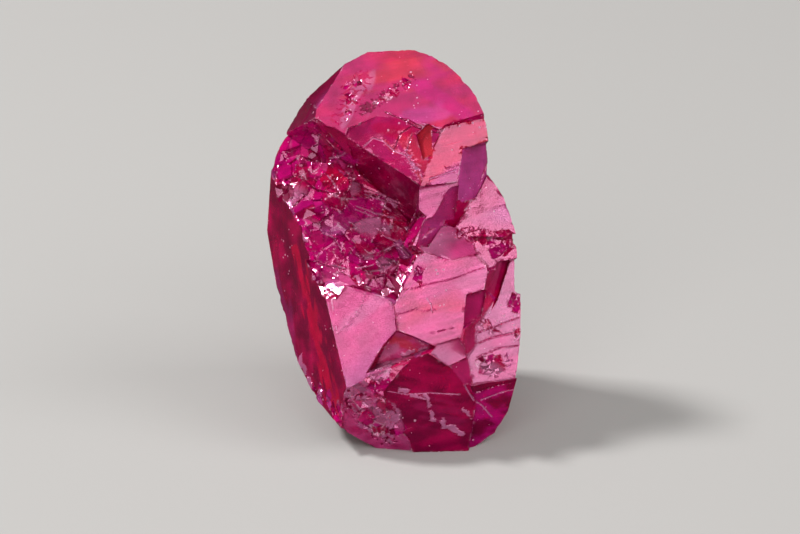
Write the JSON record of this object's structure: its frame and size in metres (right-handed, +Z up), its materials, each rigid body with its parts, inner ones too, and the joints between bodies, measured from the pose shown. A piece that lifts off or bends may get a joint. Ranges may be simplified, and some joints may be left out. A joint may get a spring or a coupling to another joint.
{
  "type": "pink sapphire crystal",
  "caption": "Rough pink sapphire crystal with flat growth faces, ledges and a broken hollow, standing upright on its flat foot.",
  "frame": {"origin": "centre of the bounding box's underside, on the surface that the crystal stands on", "axes": "+Z up the standing crystal, -Y towards the show faces, +X to the right as seen from the show side"},
  "size_m": [0.0168, 0.0158, 0.0233],
  "materials": {
    "sapphire": "natural crystal faces, glossy to lightly etched"
  },
  "bodies": {
    "root": {"pink_sapphire_crystal": "sapphire"}
  },
  "joints": []
}
